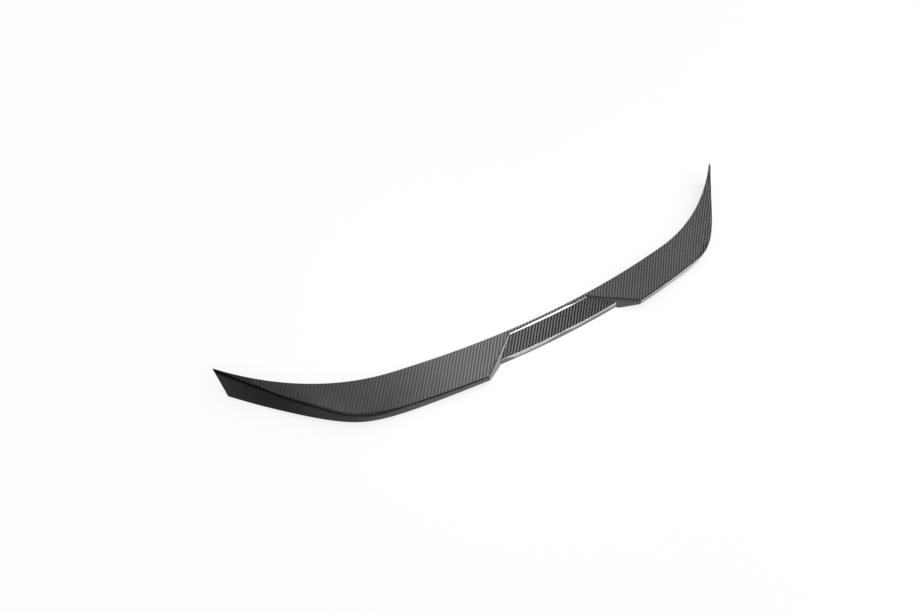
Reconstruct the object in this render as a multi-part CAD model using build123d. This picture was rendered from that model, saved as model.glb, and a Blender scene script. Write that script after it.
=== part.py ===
from build123d import *
import math
import os

# Lip spoiler for the rear edge of a boot lid: one thin moulded laminate.
# X runs across the car, Y points to the front of the car, Z points up.
# The shape is drawn on the lid plane Z = 0, from the middle of the rear foot,
# and is then tipped to the attitude in which the finished part lies at rest.

# Plan curve shared by the leading edge, the trailing edge and the centre panel
bow_radius = 2720.0

# Leading edge in plan: bowed across the middle, then swept forward to the tips
half_width = 624.5
centre_chord = 48.9
lead_end_run = 266.5
tip_sweep = 124.5
lead_thickness = 2.2
lead_edge_radius = 0.8

# Crest of the wings, the line where the top turns down into the rear face
crest_back = 20.0
crest_end_run = 218.5
crest_corner_radius = 157.0
crest_corner_turn = 35.5
tip_chord = 6.0
inner_height = 20.5
corner_height = 15.5
tip_height = 1.4
tip_fall_run = 162.5
crest_radius = 3.0

# Nose, the lower edge of the visible rear face, and the foot under it
nose_back = 25.2
nose_end_run = 228.5
nose_corner_radius = 222.0
nose_corner_turn = 28.5
tip_depth = 34.0
nose_rise = 13.4
edge_rise = 2.8
thin_edge_run = 244.5
nose_radius = 1.6
undercut_slope = 1.25
foot_end_run = 209.5
end_drop = 29.5

# Ends, trimmed by planes that lean inwards towards the bottom
end_lean = 23.0
trim_allowance = 12.0

# Notch in the middle: a low panel with a bevelled front and a leaning wall on each side
panel_foot_back = 3.2
panel_rear_run = 6.8
panel_rear_height = 7.1
rim_width = 8.0
panel_front_height = 1.9
bevel_angle = 28.0
panel_edge_radius = 3.0
notch_foot_half = 154.5
wall_flare = 1.3
wall_lean = 1.49
wall_foot_radius = 1.5
wall_top_radius = 1.3

# Laminate and the lands that take the bonding tape
wall = 2.2
land_width = 18.0
flange_width = 12.0
end_roof_width = 12.0
end_lip_width = 0.5

# Fineness of the construction
lofts_per_half = 12
search_steps = 40
coplanar = 0.01


def last_true(test, low, high):
    """Largest value between low and high that still passes the test, found by halving."""
    for _ in range(search_steps):
        middle = (low + high) / 2
        if test(middle):
            low = middle
        else:
            high = middle
    return low


def reader(curve, end_direction):
    """Reads the Y of a left-to-right curve at any X, going straight on past its end."""
    end = curve @ 1

    def value(x):
        if x >= end.X:
            return end.Y + end_direction.Y / end_direction.X * (x - end.X)
        return (curve @ last_true(lambda share: (curve @ share).X < x, 0.0, 1.0)).Y

    return value


def bowed_line(start_y, end_run):
    """Plan arc that leaves the symmetry plane square to it and stops end_run short of the end."""
    turn = math.asin((half_width - end_run) / bow_radius)
    return JernArc((0, start_y), (1, 0), bow_radius, math.degrees(turn))


def swept_line(start_y, end_run, corner_radius, corner_turn, end):
    """Bowed rear line with a rounded corner, then a tangent arc forward to its end."""
    bow = bowed_line(start_y, end_run)
    corner = JernArc(bow @ 1, bow % 1, corner_radius, corner_turn)
    return Wire([bow, corner, TangentArc(corner @ 1, end, tangent=corner % 1)])


def ease(x, start, end):
    """Smooth step from 0 at start to 1 at end."""
    share = min(max((x - start) / (end - start), 0.0), 1.0)
    return 0.5 - 0.5 * math.cos(math.pi * share)


lead_bow = bowed_line(centre_chord, lead_end_run)
tip = lead_bow @ 1 + Vector(lead_end_run, tip_sweep)
lead_line = Wire([lead_bow, TangentArc(lead_bow @ 1, tip, tangent=lead_bow % 1)])
crest_end = tip - Vector(0, tip_chord)
crest_line = swept_line(-crest_back, crest_end_run, crest_corner_radius, crest_corner_turn, crest_end)
nose_end = tip - Vector(0, tip_depth)
nose_line = swept_line(-nose_back, nose_end_run, nose_corner_radius, nose_corner_turn, nose_end)
lead_y, crest_y, nose_y = [reader(line, lead_line % 1) for line in (lead_line, crest_line, nose_line)]

# Inner end of the wings, where the crest meets the notch wall
inner_x = notch_foot_half + wall_flare * crest_back + wall_lean * inner_height


def crest_z(x):
    """Height of the crest: a slow fall along the wing, then down to the tip."""
    corner_x = half_width - tip_fall_run
    wing_fall = (inner_height - corner_height) * ease(x, inner_x, corner_x)
    end_fall = (corner_height - tip_height) * ease(x, corner_x, half_width)
    return inner_height - wing_fall - end_fall


def foot_z(x):
    """Height of the foot: level across the lid, then down around its side."""
    share = max(x - half_width + foot_end_run, 0.0) / foot_end_run
    return -end_drop * share**2


def nose_height(x):
    """Height of the nose above the foot: an overhanging lip inside, a thin edge at the ends."""
    return nose_rise - (nose_rise - edge_rise) * ease(x, inner_x, half_width - thin_edge_run)


def section_corners(x):
    """Corners of the cross-section at x: leading edge, crest, nose and foot, as (Y, Z)."""
    x = abs(x)
    foot = foot_z(x)
    nose = nose_height(x)
    return [
        Vector(lead_y(x), 0),
        Vector(lead_y(x), lead_thickness),
        Vector(crest_y(x), crest_z(x)),
        Vector(nose_y(x), foot + nose),
        Vector(nose_y(x) + undercut_slope * nose, foot),
    ]


def station(x):
    """Plane square to X at x, with Y to its right and Z up."""
    return Plane((x, 0, 0), x_dir=(0, 1, 0), z_dir=(1, 0, 0))


def outer_section(x):
    corners = section_corners(x)
    face = make_face(Polyline(*corners, close=True))
    for corner, radius in zip(corners[1:4], (lead_edge_radius, crest_radius, nose_radius)):
        face = fillet(face.vertices().sort_by_distance(corner)[0], radius)
    return station(x) * face


def inset_corner(before, corner, after, depth):
    """Corner moved inwards so that both its sides move by depth."""
    first = (corner - before).normalized()
    second = (after - corner).normalized()
    first_in = Vector(-first.Y, first.X)
    second_in = Vector(-second.Y, second.X)
    return corner + (first_in + second_in) * (depth / (1 + first_in.dot(second_in)))


def inner_corners(x):
    """Corners of the inner surface at x: under the crest, the nose and the foot."""
    heel, lead, crest, nose, foot = section_corners(x)
    crest_in = inset_corner(lead, crest, nose, wall)
    nose_in = inset_corner(crest, nose, foot, wall)
    foot_in = inset_corner(nose, foot, heel, wall)
    return crest_in, nose_in, foot_in


def hollow_fits(x):
    """Whether the section at x has room for a hollow behind its front land and inside its lip."""
    lead, nose, foot = [section_corners(x)[i] for i in (1, 3, 4)]
    crest_in, nose_in, foot_in = inner_corners(x)
    roof_width = lead.X - land_width - crest_in.X
    lip_width = (foot_in - nose_in).dot((foot - nose).normalized())
    return roof_width > end_roof_width and lip_width > end_lip_width


def cavity_section(x):
    """Hollow under the skin, open downwards between the front land and the rear flange."""
    heel, lead, crest, nose, foot = section_corners(x)
    crest_in, nose_in, foot_in = inner_corners(x)
    skin = (crest - lead).normalized()
    base = (heel - foot).normalized()
    land_y = lead.X - land_width
    flange_y = foot.X + flange_width
    front_top = Vector(land_y, crest_in.Y + skin.Y / skin.X * (land_y - crest_in.X))
    flange_top = foot_in + base * ((flange_y - foot_in.X) / base.X)
    flange_low = foot + base * ((flange_y - foot.X) / base.X) - Vector(0, wall)
    front_low = foot + base * ((land_y - foot.X) / base.X) - Vector(0, wall)
    outline = Polyline(front_top, crest_in, nose_in, foot_in, flange_top, flange_low, front_low, close=True)
    return station(x) * make_face(outline)


def loft_stations(reach):
    """Stations from end to end, closer together towards the ends."""
    steps = range(-lofts_per_half, lofts_per_half + 1)
    return [reach * math.sin(math.pi / 2 * step / lofts_per_half) for step in steps]


def notch_wall(side, growth=0.0):
    """Plane of the leaning notch wall on one side, facing out of the notch."""
    normal = Vector(side, wall_flare, -wall_lean).normalized()
    return Plane(Vector(side * notch_foot_half, 0, 0) + normal * growth, z_dir=normal)


def wall_edges(edges):
    """Those edges that lie in one of the two notch walls."""
    walls = [notch_wall(side) for side in (-1, 1)]
    return [edge for edge in edges if any(abs(w.to_local_coords(edge.center()).Z) < coplanar for w in walls)]


def notch_tool(growth):
    """Space above the centre panel and between the notch walls, grown by the given depth."""
    foot = Vector(-panel_foot_back, 0)
    rear = foot + Vector(panel_rear_run, panel_rear_height)
    front = Vector(centre_chord - rim_width, panel_front_height)
    clear = centre_chord + nose_back + inner_height
    bevel = Vector(math.cos(math.radians(bevel_angle)), math.sin(math.radians(bevel_angle)))
    below = foot - (rear - foot).normalized() * nose_back
    above = front + bevel * clear
    outline = Polyline(below, rear, front, above, (-clear, above.Y), (-clear, below.Y), close=True)
    face = make_face(outline)
    face = fillet(face.vertices().sort_by_distance(rear)[0], panel_edge_radius)
    if growth > 0:
        face = offset(face, growth, kind=Kind.INTERSECTION)
    bow_axis = Axis((0, bow_radius, 0), (0, 0, 1))
    reach = math.degrees(2 * notch_foot_half / bow_radius)
    tool = revolve((station(0) * face).rotate(bow_axis, -reach), bow_axis, 2 * reach)
    for side in (-1, 1):
        tool = split(tool, bisect_by=notch_wall(side, growth), keep=Keep.BOTTOM)
    return tool


def end_trim(solid, side):
    """Cuts one end by a plane through its tip that leans inwards towards the bottom."""
    lean = math.radians(end_lean)
    normal = (side * math.cos(lean), 0, -math.sin(lean))
    return split(solid, bisect_by=Plane((side * half_width, 0, lead_thickness), z_dir=normal), keep=Keep.BOTTOM)


body = loft([outer_section(x) for x in loft_stations(half_width + trim_allowance)])
body = end_trim(end_trim(body, 1), -1)
hollow_reach = last_true(hollow_fits, inner_x, half_width)
hollow = loft([cavity_section(x) for x in loft_stations(hollow_reach)])

notch = notch_tool(0)
wall_feet = [edge for edge in wall_edges(notch.edges()) if edge.center().Y > -nose_back]
notch = fillet(wall_feet, wall_foot_radius)
notched = body - notch
rims = wall_edges(new_edges(body, notch, combined=notched))
notched = fillet([edge for edge in rims if edge.center().Z > coplanar], wall_top_radius)
shell = notched - (hollow - notch_tool(wall))

foot_end = half_width - math.tan(math.radians(end_lean)) * end_drop
rest_run = section_corners(foot_end)[4].X - section_corners(inner_x)[4].X
rest_pitch = math.degrees(math.atan2(-foot_z(foot_end), rest_run))
shell = Rot(X=rest_pitch) * shell
box = shell.bounding_box()
shell = Pos(0, -box.center().Y, -box.min.Z) * shell

os.makedirs("parts", exist_ok=True)
export_step(shell, "parts/spoiler_shell.step")
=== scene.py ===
# %% [markdown]
# # A carbon-fibre boot-lid spoiler
# The object is one thin moulding of carbon-fibre cloth under a polished clear coat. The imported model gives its
# exact shape, so this lesson is about everything else: the photograph's camera, the woven cloth, the lacquer
# over it, and the lamps whose reflections tell the eye that the lacquer is glossy and the cloth below is not.

# %% Load the frame
import math
import bpy
from mathutils import Matrix, Vector

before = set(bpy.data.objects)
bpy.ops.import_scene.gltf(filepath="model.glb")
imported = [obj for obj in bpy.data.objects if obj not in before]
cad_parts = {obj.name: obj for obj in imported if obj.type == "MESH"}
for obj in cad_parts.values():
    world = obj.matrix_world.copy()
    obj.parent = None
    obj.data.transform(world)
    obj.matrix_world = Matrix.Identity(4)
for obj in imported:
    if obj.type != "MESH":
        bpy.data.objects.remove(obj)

scene = bpy.context.scene
scene.view_settings.view_transform = "Standard"
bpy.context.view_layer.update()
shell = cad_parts["spoiler_shell"]

# %% [markdown]
# ## The camera
# The photograph looks down on the spoiler from behind the car and from the left, about two metres away. A camera
# is a place, a direction and a lens. Focal length over image width gives the lens for Blender's 36 mm sensor, and
# the three axes of the camera are the columns of its rotation matrix.

# %% Place the camera
IMAGE_WIDTH = 920
FOCAL_PIXELS = 1000.0
SENSOR_WIDTH = 36.0
CAMERA_PLACE = Vector((-1.17353, -0.53049, 1.39107))
LOOK = Vector((0.56326, 0.31731, -0.76292)).normalized()
IMAGE_UP = Vector((0.33416, 0.75734, 0.56104))

right = LOOK.cross(IMAGE_UP).normalized()
up = right.cross(LOOK)
camera_data = bpy.data.cameras.new("photo_camera")
camera_data.sensor_width = SENSOR_WIDTH
camera_data.lens = FOCAL_PIXELS * SENSOR_WIDTH / IMAGE_WIDTH
camera = bpy.data.objects.new("photo_camera", camera_data)
camera.matrix_world = Matrix((right, up, -LOOK)).transposed().to_4x4()
camera.location = CAMERA_PLACE
scene.collection.objects.link(camera)
scene.camera = camera
print("lens in mm:", round(camera_data.lens, 2))

# %% [markdown]
# ## Building materials from nodes
# Every finish below is a small network. One helper adds a node, sets its values and makes its links, so a
# material reads as a list of steps. Colours are written the way a paint program shows them, as sRGB hex, and one
# function turns them into the linear light that the renderer adds up.

# %% Three helpers for materials
def linear(hex_colour):
    channels = [int(hex_colour[i:i + 2], 16) / 255 for i in (1, 3, 5)]
    return [c / 12.92 if c <= 0.04045 else ((c + 0.055) / 1.055) ** 2.4 for c in channels] + [1.0]


def add(tree, kind, links=(), **settings):
    node = tree.nodes.new(kind)
    for name, value in settings.items():
        setattr(node, name, value)
    for name, value in dict(links).items():
        socket = node.inputs[name]
        if isinstance(value, bpy.types.NodeSocket):
            tree.links.new(value, socket)
        else:
            socket.default_value = value
    return node


def empty_material(name):
    material = bpy.data.materials.new(name)
    material.use_nodes = True
    material.node_tree.nodes.clear()
    return material


print("black and white in linear light:", linear("#000000")[:3], linear("#ffffff")[:3])

# %% [markdown]
# ## Carbon-fibre twill: how the cloth lies
# The cloth is laid into the mould in one sheet. A picture of cloth could be wrapped on, but measuring along the
# part in its own millimetres needs no picture and keeps every thread at its true size. The cloth lies a little
# askew, and more so towards the right end. On the steep rear faces it climbs, so there the height counts too.
# How steep a face is shows in its normal: its upward part is 1 on a level face and 0 on an upright one.

# %% Lay the cloth
ASKEW = 0.04
ASKEW_PER_METRE = 0.06
TOP_FACING = 0.95
REAR_FACING = 0.75

carbon = empty_material("carbon_fibre_twill_clear_coated")
tree = carbon.node_tree
surface = add(tree, "ShaderNodeTexCoord").outputs
axes = add(tree, "ShaderNodeSeparateXYZ", {"Vector": surface["Object"]}).outputs
facing = add(tree, "ShaderNodeSeparateXYZ", {"Vector": surface["Normal"]}).outputs
steep = add(tree, "ShaderNodeMapRange", {
    "Value": facing["Z"], "From Min": TOP_FACING, "From Max": REAR_FACING,
}).outputs[0]
lean = add(tree, "ShaderNodeMath", {
    0: axes["X"], 1: ASKEW_PER_METRE, 2: ASKEW,
}, operation="MULTIPLY_ADD").outputs[0]
lean_x = add(tree, "ShaderNodeMath", {0: lean, 1: axes["X"], 2: axes["Y"]}, operation="MULTIPLY_ADD").outputs[0]
lean_y = add(tree, "ShaderNodeMath", {0: lean, 1: axes["Y"]}, operation="MULTIPLY").outputs[0]
width_way = add(tree, "ShaderNodeMath", {0: axes["X"], 1: lean_y}, operation="SUBTRACT").outputs[0]
depth_way = add(tree, "ShaderNodeMath", {
    0: steep, 1: axes["Z"], 2: lean_x,
}, operation="MULTIPLY_ADD").outputs[0]
print("the cloth is askew by", round(math.degrees(ASKEW), 1), "degrees in the middle")

# %% [markdown]
# ## The twill: which thread is on top
# The threads are flat ribbons of fibre, called tows, 2 mm wide. In a 2x2 twill each tow goes over two others and
# under two, one step further on in each row, and that gives the diagonal stripes. Counting whole steps says which
# tow is on top. From the camera's place a step is only about a pixel wide and the eye sees soft stripes, so a
# wave over the 8 mm repeat is mixed with the steps.

# %% Count the tows
TOW_WIDTH = 0.002
TWILL_REPEAT = 4.0
FLOAT_LENGTH = 2.0
HALF_STEP = 0.5
STRIPE_SHARE = 0.6

flat_cloth = add(tree, "ShaderNodeCombineXYZ", {"X": width_way, "Y": depth_way}).outputs[0]
cloth = add(tree, "ShaderNodeVectorMath", {0: flat_cloth, "Scale": 1 / TOW_WIDTH}, operation="SCALE").outputs[0]
cell = add(tree, "ShaderNodeVectorMath", {0: cloth}, operation="FLOOR").outputs[0]
inside = add(tree, "ShaderNodeVectorMath", {0: cloth}, operation="FRACTION").outputs[0]
cell = add(tree, "ShaderNodeSeparateXYZ", {"Vector": cell}).outputs
inside = add(tree, "ShaderNodeSeparateXYZ", {"Vector": inside}).outputs
step = add(tree, "ShaderNodeMath", {0: cell["X"], 1: cell["Y"]}, operation="SUBTRACT").outputs[0]
turn = add(tree, "ShaderNodeMath", {0: step, 1: TWILL_REPEAT}, operation="FLOORED_MODULO").outputs[0]
warp = add(tree, "ShaderNodeMath", {0: turn, 1: FLOAT_LENGTH - HALF_STEP}, operation="LESS_THAN").outputs[0]
print("twill repeat in mm:", 1000 * TOW_WIDTH * TWILL_REPEAT)

# %% Soften the steps to stripes
diagonal = add(tree, "ShaderNodeMath", {0: width_way, 1: depth_way}, operation="SUBTRACT").outputs[0]
swing = add(tree, "ShaderNodeMath", {
    0: diagonal, 1: 2 * math.pi / (TOW_WIDTH * TWILL_REPEAT), 2: -math.pi / TWILL_REPEAT,
}, operation="MULTIPLY_ADD").outputs[0]
stripe = add(tree, "ShaderNodeMath", {0: swing}, operation="COSINE").outputs[0]
stripe = add(tree, "ShaderNodeMapRange", {"Value": stripe, "From Min": -1.0, "From Max": 1.0}).outputs[0]
light = add(tree, "ShaderNodeMix", {0: STRIPE_SHARE, 2: warp, 3: stripe}).outputs[0]
print("share of soft stripes:", STRIPE_SHARE)

# %% [markdown]
# ## The crown of each tow
# A tow isn't flat: it bulges across its width, and it dives under its neighbours at both ends of each float. Its
# height is a crown across times an arch along. The lengthwise and the crosswise tows take the same formula, with
# their two directions swapped.

# %% Shape the tows
ROUNDING = 0.5

warp_along = add(tree, "ShaderNodeMath", {0: turn, 1: inside["Y"]}, operation="SUBTRACT").outputs[0]
warp_along = add(tree, "ShaderNodeMath", {0: warp_along, 1: 1.0}, operation="ADD").outputs[0]
weft_along = add(tree, "ShaderNodeMath", {0: turn, 1: inside["X"]}, operation="ADD").outputs[0]
weft_along = add(tree, "ShaderNodeMath", {0: weft_along, 1: FLOAT_LENGTH}, operation="SUBTRACT").outputs[0]
along = add(tree, "ShaderNodeMix", {0: warp, 2: weft_along, 3: warp_along}).outputs[0]
across = add(tree, "ShaderNodeMix", {0: warp, 2: inside["Y"], 3: inside["X"]}).outputs[0]
arch = add(tree, "ShaderNodeMath", {0: along, 1: math.pi / FLOAT_LENGTH}, operation="MULTIPLY").outputs[0]
arch = add(tree, "ShaderNodeMath", {0: arch}, operation="SINE").outputs[0]
crown = add(tree, "ShaderNodeMath", {0: across, 1: math.pi}, operation="MULTIPLY").outputs[0]
crown = add(tree, "ShaderNodeMath", {0: crown}, operation="SINE").outputs[0]
height = add(tree, "ShaderNodeMath", {0: arch, 1: crown}, operation="MULTIPLY").outputs[0]
height = add(tree, "ShaderNodeMath", {0: height, 1: ROUNDING}, operation="POWER").outputs[0]
print("length of a float in mm:", 1000 * TOW_WIDTH * FLOAT_LENGTH)

# %% [markdown]
# ## Fibres in the tows
# A tow holds some three thousand fibres, each about 0.007 mm thick. That is far too fine to show, so nine streaks
# stand for them, coarse enough for a close view. The streaks and the darker gaps between the tows keep the cloth
# from looking printed.

# %% Streak the tows
STREAKS_ACROSS = 9.0
STREAKS_ALONG = 0.4
NOISE_LOW, NOISE_HIGH = 0.25, 0.75
FIBRE_DARK, FIBRE_LIGHT = 0.8, 1.2
GAP_SHADE = 0.5

warp_streaks, weft_streaks = [
    add(tree, "ShaderNodeVectorMath", {0: cloth, 1: stretch}, operation="MULTIPLY").outputs[0]
    for stretch in ((STREAKS_ACROSS, STREAKS_ALONG, 0.0), (STREAKS_ALONG, STREAKS_ACROSS, 0.0))
]
streaks = add(tree, "ShaderNodeMix", {0: warp, 4: weft_streaks, 5: warp_streaks}, data_type="VECTOR").outputs[1]
streaks = add(tree, "ShaderNodeTexNoise", {"Vector": streaks, "Scale": 1.0, "Detail": 1.0}).outputs["Fac"]
fibre = add(tree, "ShaderNodeMapRange", {
    "Value": streaks, "From Min": NOISE_LOW, "From Max": NOISE_HIGH, "To Min": FIBRE_DARK, "To Max": FIBRE_LIGHT,
}).outputs[0]
# Painted shade: the cloth is darker where the crowns dip into the gaps between the tows.
shade = add(tree, "ShaderNodeMapRange", {"Value": height, "To Min": GAP_SHADE, "To Max": 1.0}).outputs[0]
shade = add(tree, "ShaderNodeMath", {0: shade, 1: fibre}, operation="MULTIPLY").outputs[0]
print("streak spacing in mm:", round(1000 * TOW_WIDTH / STREAKS_ACROSS, 2))

# %% [markdown]
# ## Light and dark tows
# Carbon fibre is black, but it shines along its length, so tows that run one way catch the light and tows that
# run the other way stay dark. The greys below are what the photograph shows of that. The two kinds of tow differ
# most in the middle and on the right, come nearer to each other towards the left end, and are nearly alike on the
# steep rear faces, so the contrast is mixed by place and by slope.

# %% Colour the tows
# The two greys paint the tows' sheen into the colour. The contrast that shrinks towards the left end and on steep
# faces paints the light falling off there.
DARK_TOW = "#1b1b1b"
LIGHT_TOW = "#6c6c6b"
MIDDLE_TOW = "#4c4c4b"
STEEP_DARK_TOW = "#404040"
STEEP_LIGHT_TOW = "#4c4c4c"
LEFT_PLACE, LEFT_CONTRAST = -0.5, 0.4
RIGHT_PLACE, RIGHT_CONTRAST = 0.0, 1.2

contrast = add(tree, "ShaderNodeMapRange", {
    "Value": axes["X"], "From Min": LEFT_PLACE, "From Max": RIGHT_PLACE,
    "To Min": LEFT_CONTRAST, "To Max": RIGHT_CONTRAST,
}).outputs[0]
flat_tow, steep_tow = [
    add(tree, "ShaderNodeMix", {0: light, 6: linear(dark), 7: linear(pale)}, data_type="RGBA").outputs[2]
    for dark, pale in ((DARK_TOW, LIGHT_TOW), (STEEP_DARK_TOW, STEEP_LIGHT_TOW))
]
flat_tow = add(tree, "ShaderNodeMix", {
    0: contrast, 6: linear(MIDDLE_TOW), 7: flat_tow,
}, data_type="RGBA", clamp_factor=False, clamp_result=True).outputs[2]
tow_colour = add(tree, "ShaderNodeMix", {0: steep, 6: flat_tow, 7: steep_tow}, data_type="RGBA").outputs[2]
tow_colour = add(tree, "ShaderNodeVectorMath", {0: tow_colour, "Scale": shade}, operation="SCALE").outputs[0]
print("tow colours:", DARK_TOW, LIGHT_TOW, "and on steep faces", STEEP_DARK_TOW, STEEP_LIGHT_TOW)

# %% [markdown]
# ## Painted dark edges of the centre panel
# The rounded edges mirror the dark room and get little of the lamps' light, so they look like black lines, and that
# shade is painted into the colour. On the low centre panel such an edge is found by the direction it faces: past
# the flat top, but before the steep rear face.

# %% Darken the panel's edges
EDGE_TOP = (0.985, 0.95)
EDGE_FACE = (0.57, 0.63)
NOTCH_SIDE = 0.2

side_x = add(tree, "ShaderNodeMath", {0: axes["X"]}, operation="ABSOLUTE").outputs[0]
edge = add(tree, "ShaderNodeMath", {0: side_x, 1: NOTCH_SIDE}, operation="LESS_THAN").outputs[0]
for none, full in (EDGE_TOP, EDGE_FACE):
    ramp = add(tree, "ShaderNodeMapRange", {
        "Value": facing["Z"], "From Min": none, "From Max": full,
    }).outputs[0]
    edge = add(tree, "ShaderNodeMath", {0: edge, 1: ramp}, operation="MULTIPLY").outputs[0]
print("panel edges are dark within", 1000 * NOTCH_SIDE, "mm of the middle")

# %% [markdown]
# ## The painted dark line along the crest
# On the wings the dark line is wider than the rounded edge itself, so the direction it faces isn't enough. The
# line is drawn by its distance from the crest instead, seen from above. The crest is read off the mesh: the points
# that face between the top and the rear, averaged every 20 mm. A curve node holds that line, and one curve serves
# both wings, because the part is symmetric.

# %% Find the crest line in plan
NOTCH_END = 0.215
CREST_STEP = 0.02

groups = {}
for v in shell.data.vertices:
    if abs(v.co.x) > NOTCH_END and v.normal.y < 0 and REAR_FACING < v.normal.z < TOP_FACING:
        groups.setdefault(int(abs(v.co.x) / CREST_STEP), []).append((abs(v.co.x), v.co.y))
crest_plan = [[sum(values) / len(group) for values in zip(*group)] for _, group in sorted(groups.items())]
(first_x, first_y), (last_x, last_y) = crest_plan[0], crest_plan[-1]
print("points on the crest line:", len(crest_plan))

# %% Measure how far a point lies ahead of the crest
share = add(tree, "ShaderNodeMapRange", {
    "Value": side_x, "From Min": first_x, "From Max": last_x,
}, clamp=False).outputs[0]
crest = add(tree, "ShaderNodeFloatCurve", {"Value": share})
for x, y in crest_plan[1:-1]:
    crest.mapping.curves[0].points.new((x - first_x) / (last_x - first_x), (y - first_y) / (last_y - first_y))
crest.mapping.extend = "EXTRAPOLATED"
crest.mapping.update()
crest_y = add(tree, "ShaderNodeMapRange", {
    "Value": crest.outputs[0], "To Min": first_y, "To Max": last_y,
}, clamp=False).outputs[0]
ahead = add(tree, "ShaderNodeMath", {0: axes["Y"], 1: crest_y}, operation="SUBTRACT").outputs[0]
print("points in the curve node:", len(crest.mapping.curves[0].points))

# %% [markdown]
# The photograph's line is widest at the rounded left corner, narrower at the left tip, and fades out towards the
# right end. Distances that are shrunk make the line wider, so the distance is scaled by place first.

# %% Draw the crest line
CORNER_PLACE, CORNER_SCALE = (-0.42, -0.36), 0.42
TIP_PLACE, TIP_SCALE = (-0.6, -0.48), 1.4
LINE_FRONT = (0.0034, 0.0020)
LINE_REAR = (-0.0012, -0.0004)
LINE_FADE = (0.46, 0.36)
LINE_FACING = 0.3

for (far, near), scale in ((CORNER_PLACE, CORNER_SCALE), (TIP_PLACE, TIP_SCALE)):
    shrink = add(tree, "ShaderNodeMapRange", {
        "Value": axes["X"], "From Min": far, "From Max": near, "To Min": scale, "To Max": 1.0,
    }).outputs[0]
    ahead = add(tree, "ShaderNodeMath", {0: ahead, 1: shrink}, operation="MULTIPLY").outputs[0]
line = add(tree, "ShaderNodeMath", {0: side_x, 1: NOTCH_SIDE}, operation="GREATER_THAN").outputs[0]
within = add(tree, "ShaderNodeMath", {0: facing["Z"], 1: LINE_FACING}, operation="GREATER_THAN").outputs[0]
line = add(tree, "ShaderNodeMath", {0: line, 1: within}, operation="MULTIPLY").outputs[0]
for value, (none, full) in ((ahead, LINE_FRONT), (ahead, LINE_REAR), (axes["X"], LINE_FADE)):
    ramp = add(tree, "ShaderNodeMapRange", {"Value": value, "From Min": none, "From Max": full}).outputs[0]
    line = add(tree, "ShaderNodeMath", {0: line, 1: ramp}, operation="MULTIPLY").outputs[0]
edge = add(tree, "ShaderNodeMath", {0: edge, 1: line}, operation="MAXIMUM").outputs[0]
print("crest line reaches", 1000 * LINE_FRONT[0], "mm ahead of the crest")

# %% [markdown]
# ## The painted dark line on the notch walls
# The step between a wing and the low panel is a straight leaning wall, and the same shade is painted along its top
# edge. It is straight in plan, so its two ends and the distance from the line between them are enough.

# %% Darken the top edges of the notch walls
WALL_FRONT = Vector((0.1012, -0.0432))
WALL_REAR = Vector((0.1992, -0.1015))
WALL_LINE = 0.0028
WALL_FACING = 0.5

wall_run = WALL_REAR - WALL_FRONT
aside = Vector((-wall_run.y, wall_run.x)).normalized()
apart = add(tree, "ShaderNodeMath", {
    0: side_x, 1: aside.x, 2: -aside.dot(WALL_FRONT),
}, operation="MULTIPLY_ADD").outputs[0]
apart = add(tree, "ShaderNodeMath", {0: axes["Y"], 1: aside.y, 2: apart}, operation="MULTIPLY_ADD").outputs[0]
apart = add(tree, "ShaderNodeMath", {0: apart}, operation="ABSOLUTE").outputs[0]
wall_edge = add(tree, "ShaderNodeMapRange", {
    "Value": apart, "From Min": WALL_LINE, "From Max": WALL_LINE / 2,
}).outputs[0]
for value, test, limit in (
    (side_x, "GREATER_THAN", WALL_FRONT.x),
    (side_x, "LESS_THAN", WALL_REAR.x),
    (facing["Z"], "GREATER_THAN", WALL_FACING),
):
    within = add(tree, "ShaderNodeMath", {0: value, 1: limit}, operation=test).outputs[0]
    wall_edge = add(tree, "ShaderNodeMath", {0: wall_edge, 1: within}, operation="MULTIPLY").outputs[0]
edge = add(tree, "ShaderNodeMath", {0: edge, 1: wall_edge}, operation="MAXIMUM").outputs[0]
print("dark wall edge in mm:", round(1000 * wall_run.length, 1))

# %% [markdown]
# ## Clear coat outside, bare resin below
# The outside is sprayed with clear lacquer and polished, so two surfaces answer the light: rough cloth below and
# a mirror-smooth film above. Blender's principled shader has that film as its coat. The side that is stuck to the
# lid is left as it came from the mould, dull and without lacquer, so the coat is taken away where the surface
# faces down. The tow crowns tilt only the cloth: the film over them is level.

# %% Lacquer and finish the shell
# The black painted along the edges and lines is shade, not a material of its own.
EDGE_SHADE_BLACK = "#040404"
BARE_FACING, LACQUERED_FACING = -0.95, -0.85
BARE_ROUGHNESS, CLOTH_ROUGHNESS = 0.6, 0.45
CLOTH_SHINE = 0.15
COAT_ROUGHNESS = 0.04
RESIN_IOR = 1.5
CROWN_HEIGHT = 0.0001
CROWN_STRENGTH = 0.5

cloth_colour = add(tree, "ShaderNodeMix", {
    0: edge, 6: tow_colour, 7: linear(EDGE_SHADE_BLACK),
}, data_type="RGBA").outputs[2]
lacquer = add(tree, "ShaderNodeMapRange", {
    "Value": facing["Z"], "From Min": BARE_FACING, "From Max": LACQUERED_FACING,
}).outputs[0]
dull = add(tree, "ShaderNodeMapRange", {
    "Value": lacquer, "To Min": BARE_ROUGHNESS, "To Max": CLOTH_ROUGHNESS,
}).outputs[0]
crowns = add(tree, "ShaderNodeBump", {
    "Strength": CROWN_STRENGTH, "Distance": CROWN_HEIGHT, "Height": height,
}).outputs[0]
shader = add(tree, "ShaderNodeBsdfPrincipled", {
    "Base Color": cloth_colour, "Roughness": dull, "IOR": RESIN_IOR, "Specular IOR Level": CLOTH_SHINE,
    "Normal": crowns, "Coat Weight": lacquer, "Coat Roughness": COAT_ROUGHNESS, "Coat IOR": RESIN_IOR,
}).outputs[0]
add(tree, "ShaderNodeOutputMaterial", {"Surface": shader})
shell.data.materials.clear()
shell.data.materials.append(carbon)
print("nodes in the carbon material:", len(tree.nodes))

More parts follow.
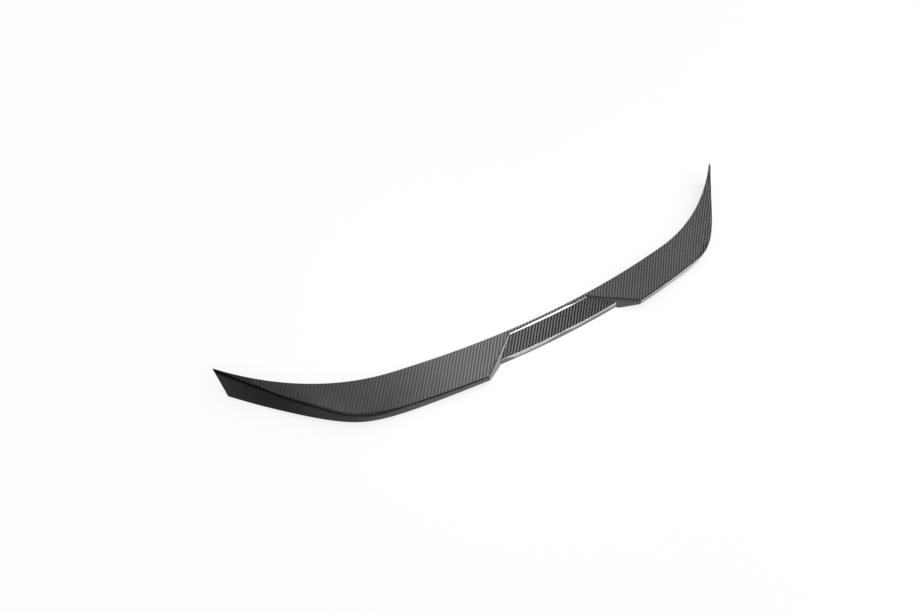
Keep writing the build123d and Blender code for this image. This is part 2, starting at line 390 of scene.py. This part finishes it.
# %% [markdown]
# ## Smooth shading
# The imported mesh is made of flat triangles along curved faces, and each face has its own copy of the points on
# its border. Welding the copies joins the faces, and splitting at creases keeps the real edges. Weighting each
# corner's normal by the size of the faces round it lets the large faces keep their direction and the small rounded
# edges blend between them, which is how a polished moulding reflects. All three are modifiers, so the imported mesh
# itself stays as it is.

# %% Smooth the reflections
SAME_POINT = 1e-6
CREASE = math.radians(32)

weld = shell.modifiers.new("join_faces", "WELD")
weld.merge_threshold = SAME_POINT
creases = shell.modifiers.new("keep_creases", "EDGE_SPLIT")
creases.split_angle = CREASE
creases.use_edge_sharp = False
shell.modifiers.new("smooth_reflections", "WEIGHTED_NORMAL")
print("modifiers on the shell:", [modifier.name for modifier in shell.modifiers])

# %% [markdown]
# ## A white table
# The picture's background is plain white: matt paper, which gives the eye no gloss and hardly a shadow. A sheet
# that is lit to white would need more light than the black part can take, so the camera and every reflection see
# paper that glows by itself, with a soft shadow painted into that glow close to the part.

# %% Lay the white table
TABLE_SIZE = 20
SHADOW_REACH = 0.06
SHADOW_SAMPLES = 16
SHADOW_GLOW, PAPER_GLOW = 0.75, 0.97

bpy.ops.mesh.primitive_plane_add(size=TABLE_SIZE)
table = bpy.context.object
table.name = "white_table"
paper = empty_material("white_paper")
tree = paper.node_tree
openness = add(tree, "ShaderNodeAmbientOcclusion", {"Distance": SHADOW_REACH}, samples=SHADOW_SAMPLES).outputs["AO"]
glow = add(tree, "ShaderNodeMapRange", {
    "Value": openness, "To Min": SHADOW_GLOW, "To Max": PAPER_GLOW,
}).outputs[0]
print("soft shadow in mm:", 1000 * SHADOW_REACH)

# %% [markdown]
# The lacquer mirrors the table in the rear faces. In the photograph that reflection is dim at the left and bright
# at the right, so reflections see a glow that rises from left to right, and the camera sees an even one.

# %% Let reflections see a table that brightens to the right
DIM_PLACE, DIM_MIRRORED = -0.45, 0.4
BRIGHT_PLACE, BRIGHT_MIRRORED = 0.05, 1.5

ray = add(tree, "ShaderNodeLightPath").outputs
place = add(tree, "ShaderNodeTexCoord").outputs["Object"]
place = add(tree, "ShaderNodeSeparateXYZ", {"Vector": place}).outputs["X"]
mirrored = add(tree, "ShaderNodeMapRange", {
    "Value": place, "From Min": DIM_PLACE, "From Max": BRIGHT_PLACE,
    "To Min": DIM_MIRRORED, "To Max": BRIGHT_MIRRORED,
}, interpolation_type="SMOOTHSTEP").outputs[0]
mirrored = add(tree, "ShaderNodeMix", {0: ray["Is Glossy Ray"], 2: 1.0, 3: mirrored}).outputs[0]
glow = add(tree, "ShaderNodeMath", {0: glow, 1: mirrored}, operation="MULTIPLY").outputs[0]
print("mirrored table, left and right:", DIM_MIRRORED, BRIGHT_MIRRORED)

# %% [markdown]
# What the camera and reflections see is that glow over grey paper, which takes the lamps' shadows. Light that
# bounces on from the table comes from plain white paper. The back of the sheet is see-through, so a view from
# below shows the part.

# %% Put the paper together
PAPER_WHITE = "#e6e6e6"
PAPER_UNDER_GLOW = "#404040"

bounced = add(tree, "ShaderNodeBsdfDiffuse", {"Color": linear(PAPER_WHITE)}).outputs[0]
lit = add(tree, "ShaderNodeBsdfDiffuse", {"Color": linear(PAPER_UNDER_GLOW)}).outputs[0]
glow = add(tree, "ShaderNodeEmission", {"Strength": glow}).outputs[0]
seen = add(tree, "ShaderNodeAddShader", {0: lit, 1: glow}).outputs[0]
looked_at = ray["Is Camera Ray"]
for kind in ("Is Glossy Ray", "Is Transmission Ray"):
    looked_at = add(tree, "ShaderNodeMath", {0: looked_at, 1: ray[kind]}, operation="MAXIMUM").outputs[0]
sheet = add(tree, "ShaderNodeMixShader", {0: looked_at, 1: bounced, 2: seen}).outputs[0]
from_below = add(tree, "ShaderNodeNewGeometry").outputs["Backfacing"]
nothing = add(tree, "ShaderNodeBsdfTransparent").outputs[0]
sheet = add(tree, "ShaderNodeMixShader", {0: from_below, 1: sheet, 2: nothing}).outputs[0]
add(tree, "ShaderNodeOutputMaterial", {"Surface": sheet})
table.data.materials.append(paper)
print("nodes in the paper:", len(tree.nodes))

# %% [markdown]
# ## Lamps
# A glossy black part is lit by what it mirrors, and its cloth by what falls on it, so some lamps here do only one
# of the two. Two small lamps above light the cloth and stay out of the reflections. A low lamp at the right rear
# lights the rear faces and the left notch wall. It has a limit: seen from the front left and from low down, the
# tops mirror it too, and most of them turn white. A small bright lamp beside it shows only as a reflection: the
# bevel of the centre panel mirrors it as a white strip.

# %% Hang the lamps
def softbox(name, place, aim, width, height, power):
    data = bpy.data.lights.new(name, "AREA")
    data.shape = "RECTANGLE"
    data.size = width
    data.size_y = height
    data.energy = power
    lamp = bpy.data.objects.new(name, data)
    lamp.location = place
    lamp.rotation_euler = (Vector(aim) - lamp.location).to_track_quat("-Z", "Y").to_euler()
    lamp.visible_camera = False
    scene.collection.objects.link(lamp)
    print(name, "at", [round(c, 2) for c in lamp.location], "with", power, "W")
    return lamp


def toward(azimuth, elevation, distance):
    a, e = math.radians(azimuth), math.radians(elevation)
    return distance * Vector((math.cos(e) * math.cos(a), math.cos(e) * math.sin(a), math.sin(e)))


CENTRE = (0.0, 0.0, 0.0)
HANGING = 0.3
for name, x, y, power in (("lamp_above", -0.13, -0.04, 1.28), ("lamp_above_right", 0.47, -0.01, 0.42)):
    above = softbox(name, (x, y, HANGING), (x, y, 0.0), width=0.3, height=0.12, power=power)
    above.visible_glossy = False
key_place = toward(azimuth=-32.5, elevation=13, distance=1.8)
softbox("key_right_rear", key_place, CENTRE, width=2.05, height=0.75, power=35)
strip_place = toward(azimuth=-51, elevation=25, distance=2.0)
strip = softbox("strip_rear", strip_place, CENTRE, width=0.5, height=0.25, power=14.4)
strip.visible_diffuse = False

# %% [markdown]
# ## A white card above
# The tops of the wings carry a soft veil, which is a pale surface mirrored in the lacquer. In a studio that is a
# white card that hangs above the part and is lit from one side. Here it is a plane that glows and shows only in
# reflections. The glow rises from the left, which makes the veil grow towards the notch, and falls off again for
# the right end.

# %% Hang the white card
CARD_WIDTH, CARD_DEPTH = 1.7, 0.34
CARD_PLACE = (0.72, 0.40, 0.86)
CARD_TILT = math.radians(153.1)

bpy.ops.mesh.primitive_plane_add(size=1)
card = bpy.context.object
card.name = "white_card"
card.scale = (CARD_WIDTH, CARD_DEPTH, 1.0)
card.location = CARD_PLACE
card.rotation_euler = (CARD_TILT, 0.0, 0.0)
card.visible_camera = False
card.visible_diffuse = False
print("card in m:", CARD_WIDTH, "by", CARD_DEPTH)

# %% Light the card from one side
RISE = {"From Min": 0.0, "From Max": 0.45, "To Min": 0.3, "To Max": 1.35}
FALL = {"From Min": 0.62, "From Max": 1.0, "To Min": 1.0, "To Max": 0.5}

glowing = empty_material("white_card_lit_from_one_side")
tree = glowing.node_tree
place = add(tree, "ShaderNodeNewGeometry").outputs["Position"]
place = add(tree, "ShaderNodeSeparateXYZ", {"Vector": place}).outputs["X"]
rise, fall = [
    add(tree, "ShaderNodeMapRange", {"Value": place, **slope}, interpolation_type="SMOOTHSTEP").outputs[0]
    for slope in (RISE, FALL)
]
glow = add(tree, "ShaderNodeMath", {0: rise, 1: fall}, operation="MULTIPLY").outputs[0]
glow = add(tree, "ShaderNodeEmission", {"Strength": glow}).outputs[0]
add(tree, "ShaderNodeOutputMaterial", {"Surface": glow})
card.data.materials.append(glowing)
print("card glow from", RISE["To Min"], "to", RISE["To Max"])

# %% [markdown]
# ## The studio round the part
# Past the table and the card, the lacquer mirrors the room. It is painted into the world by direction: dim, paler
# towards the horizon, and bright behind the car, which lightens the rear faces. Matt surfaces get a weak even
# fill instead. The camera sees an even pale grey past the table's edge, because a background node starts from a
# light grey. From the photograph's place the table fills the whole picture.

# %% Paint the studio
ROOM_GLOW = 0.05
HORIZON_GLOW = 0.4
REAR_GLOW = 1.2
FILL_GLOW = 0.12
BACKDROP_GLOW = 1.0
HORIZON = {"From Min": 0.3, "From Max": 0.0, "To Min": ROOM_GLOW, "To Max": HORIZON_GLOW}
BEHIND = {"From Min": -0.5, "From Max": -0.8}
BESIDE = {"From Min": -0.4, "From Max": -0.1}

world = bpy.data.worlds.new("studio")
scene.world = world
world.use_nodes = True
tree = world.node_tree
tree.nodes.clear()
direction = add(tree, "ShaderNodeTexCoord").outputs["Generated"]
direction = add(tree, "ShaderNodeSeparateXYZ", {"Vector": direction}).outputs
room, behind, beside = [
    add(tree, "ShaderNodeMapRange", {"Value": direction[axis], **slope}, interpolation_type="SMOOTHSTEP").outputs[0]
    for axis, slope in (("Z", HORIZON), ("Y", BEHIND), ("X", BESIDE))
]
rear = add(tree, "ShaderNodeMath", {0: behind, 1: beside}, operation="MULTIPLY").outputs[0]
room = add(tree, "ShaderNodeMath", {0: rear, 1: REAR_GLOW, 2: room}, operation="MULTIPLY_ADD").outputs[0]
ray = add(tree, "ShaderNodeLightPath").outputs
strength = add(tree, "ShaderNodeMix", {0: ray["Is Diffuse Ray"], 2: room, 3: FILL_GLOW}).outputs[0]
strength = add(tree, "ShaderNodeMix", {0: ray["Is Camera Ray"], 2: strength, 3: BACKDROP_GLOW}).outputs[0]
background = add(tree, "ShaderNodeBackground", {"Strength": strength}).outputs[0]
add(tree, "ShaderNodeOutputWorld", {"Surface": background})
print("studio glow: room", ROOM_GLOW, "horizon", HORIZON_GLOW, "rear", REAR_GLOW, "fill", FILL_GLOW)
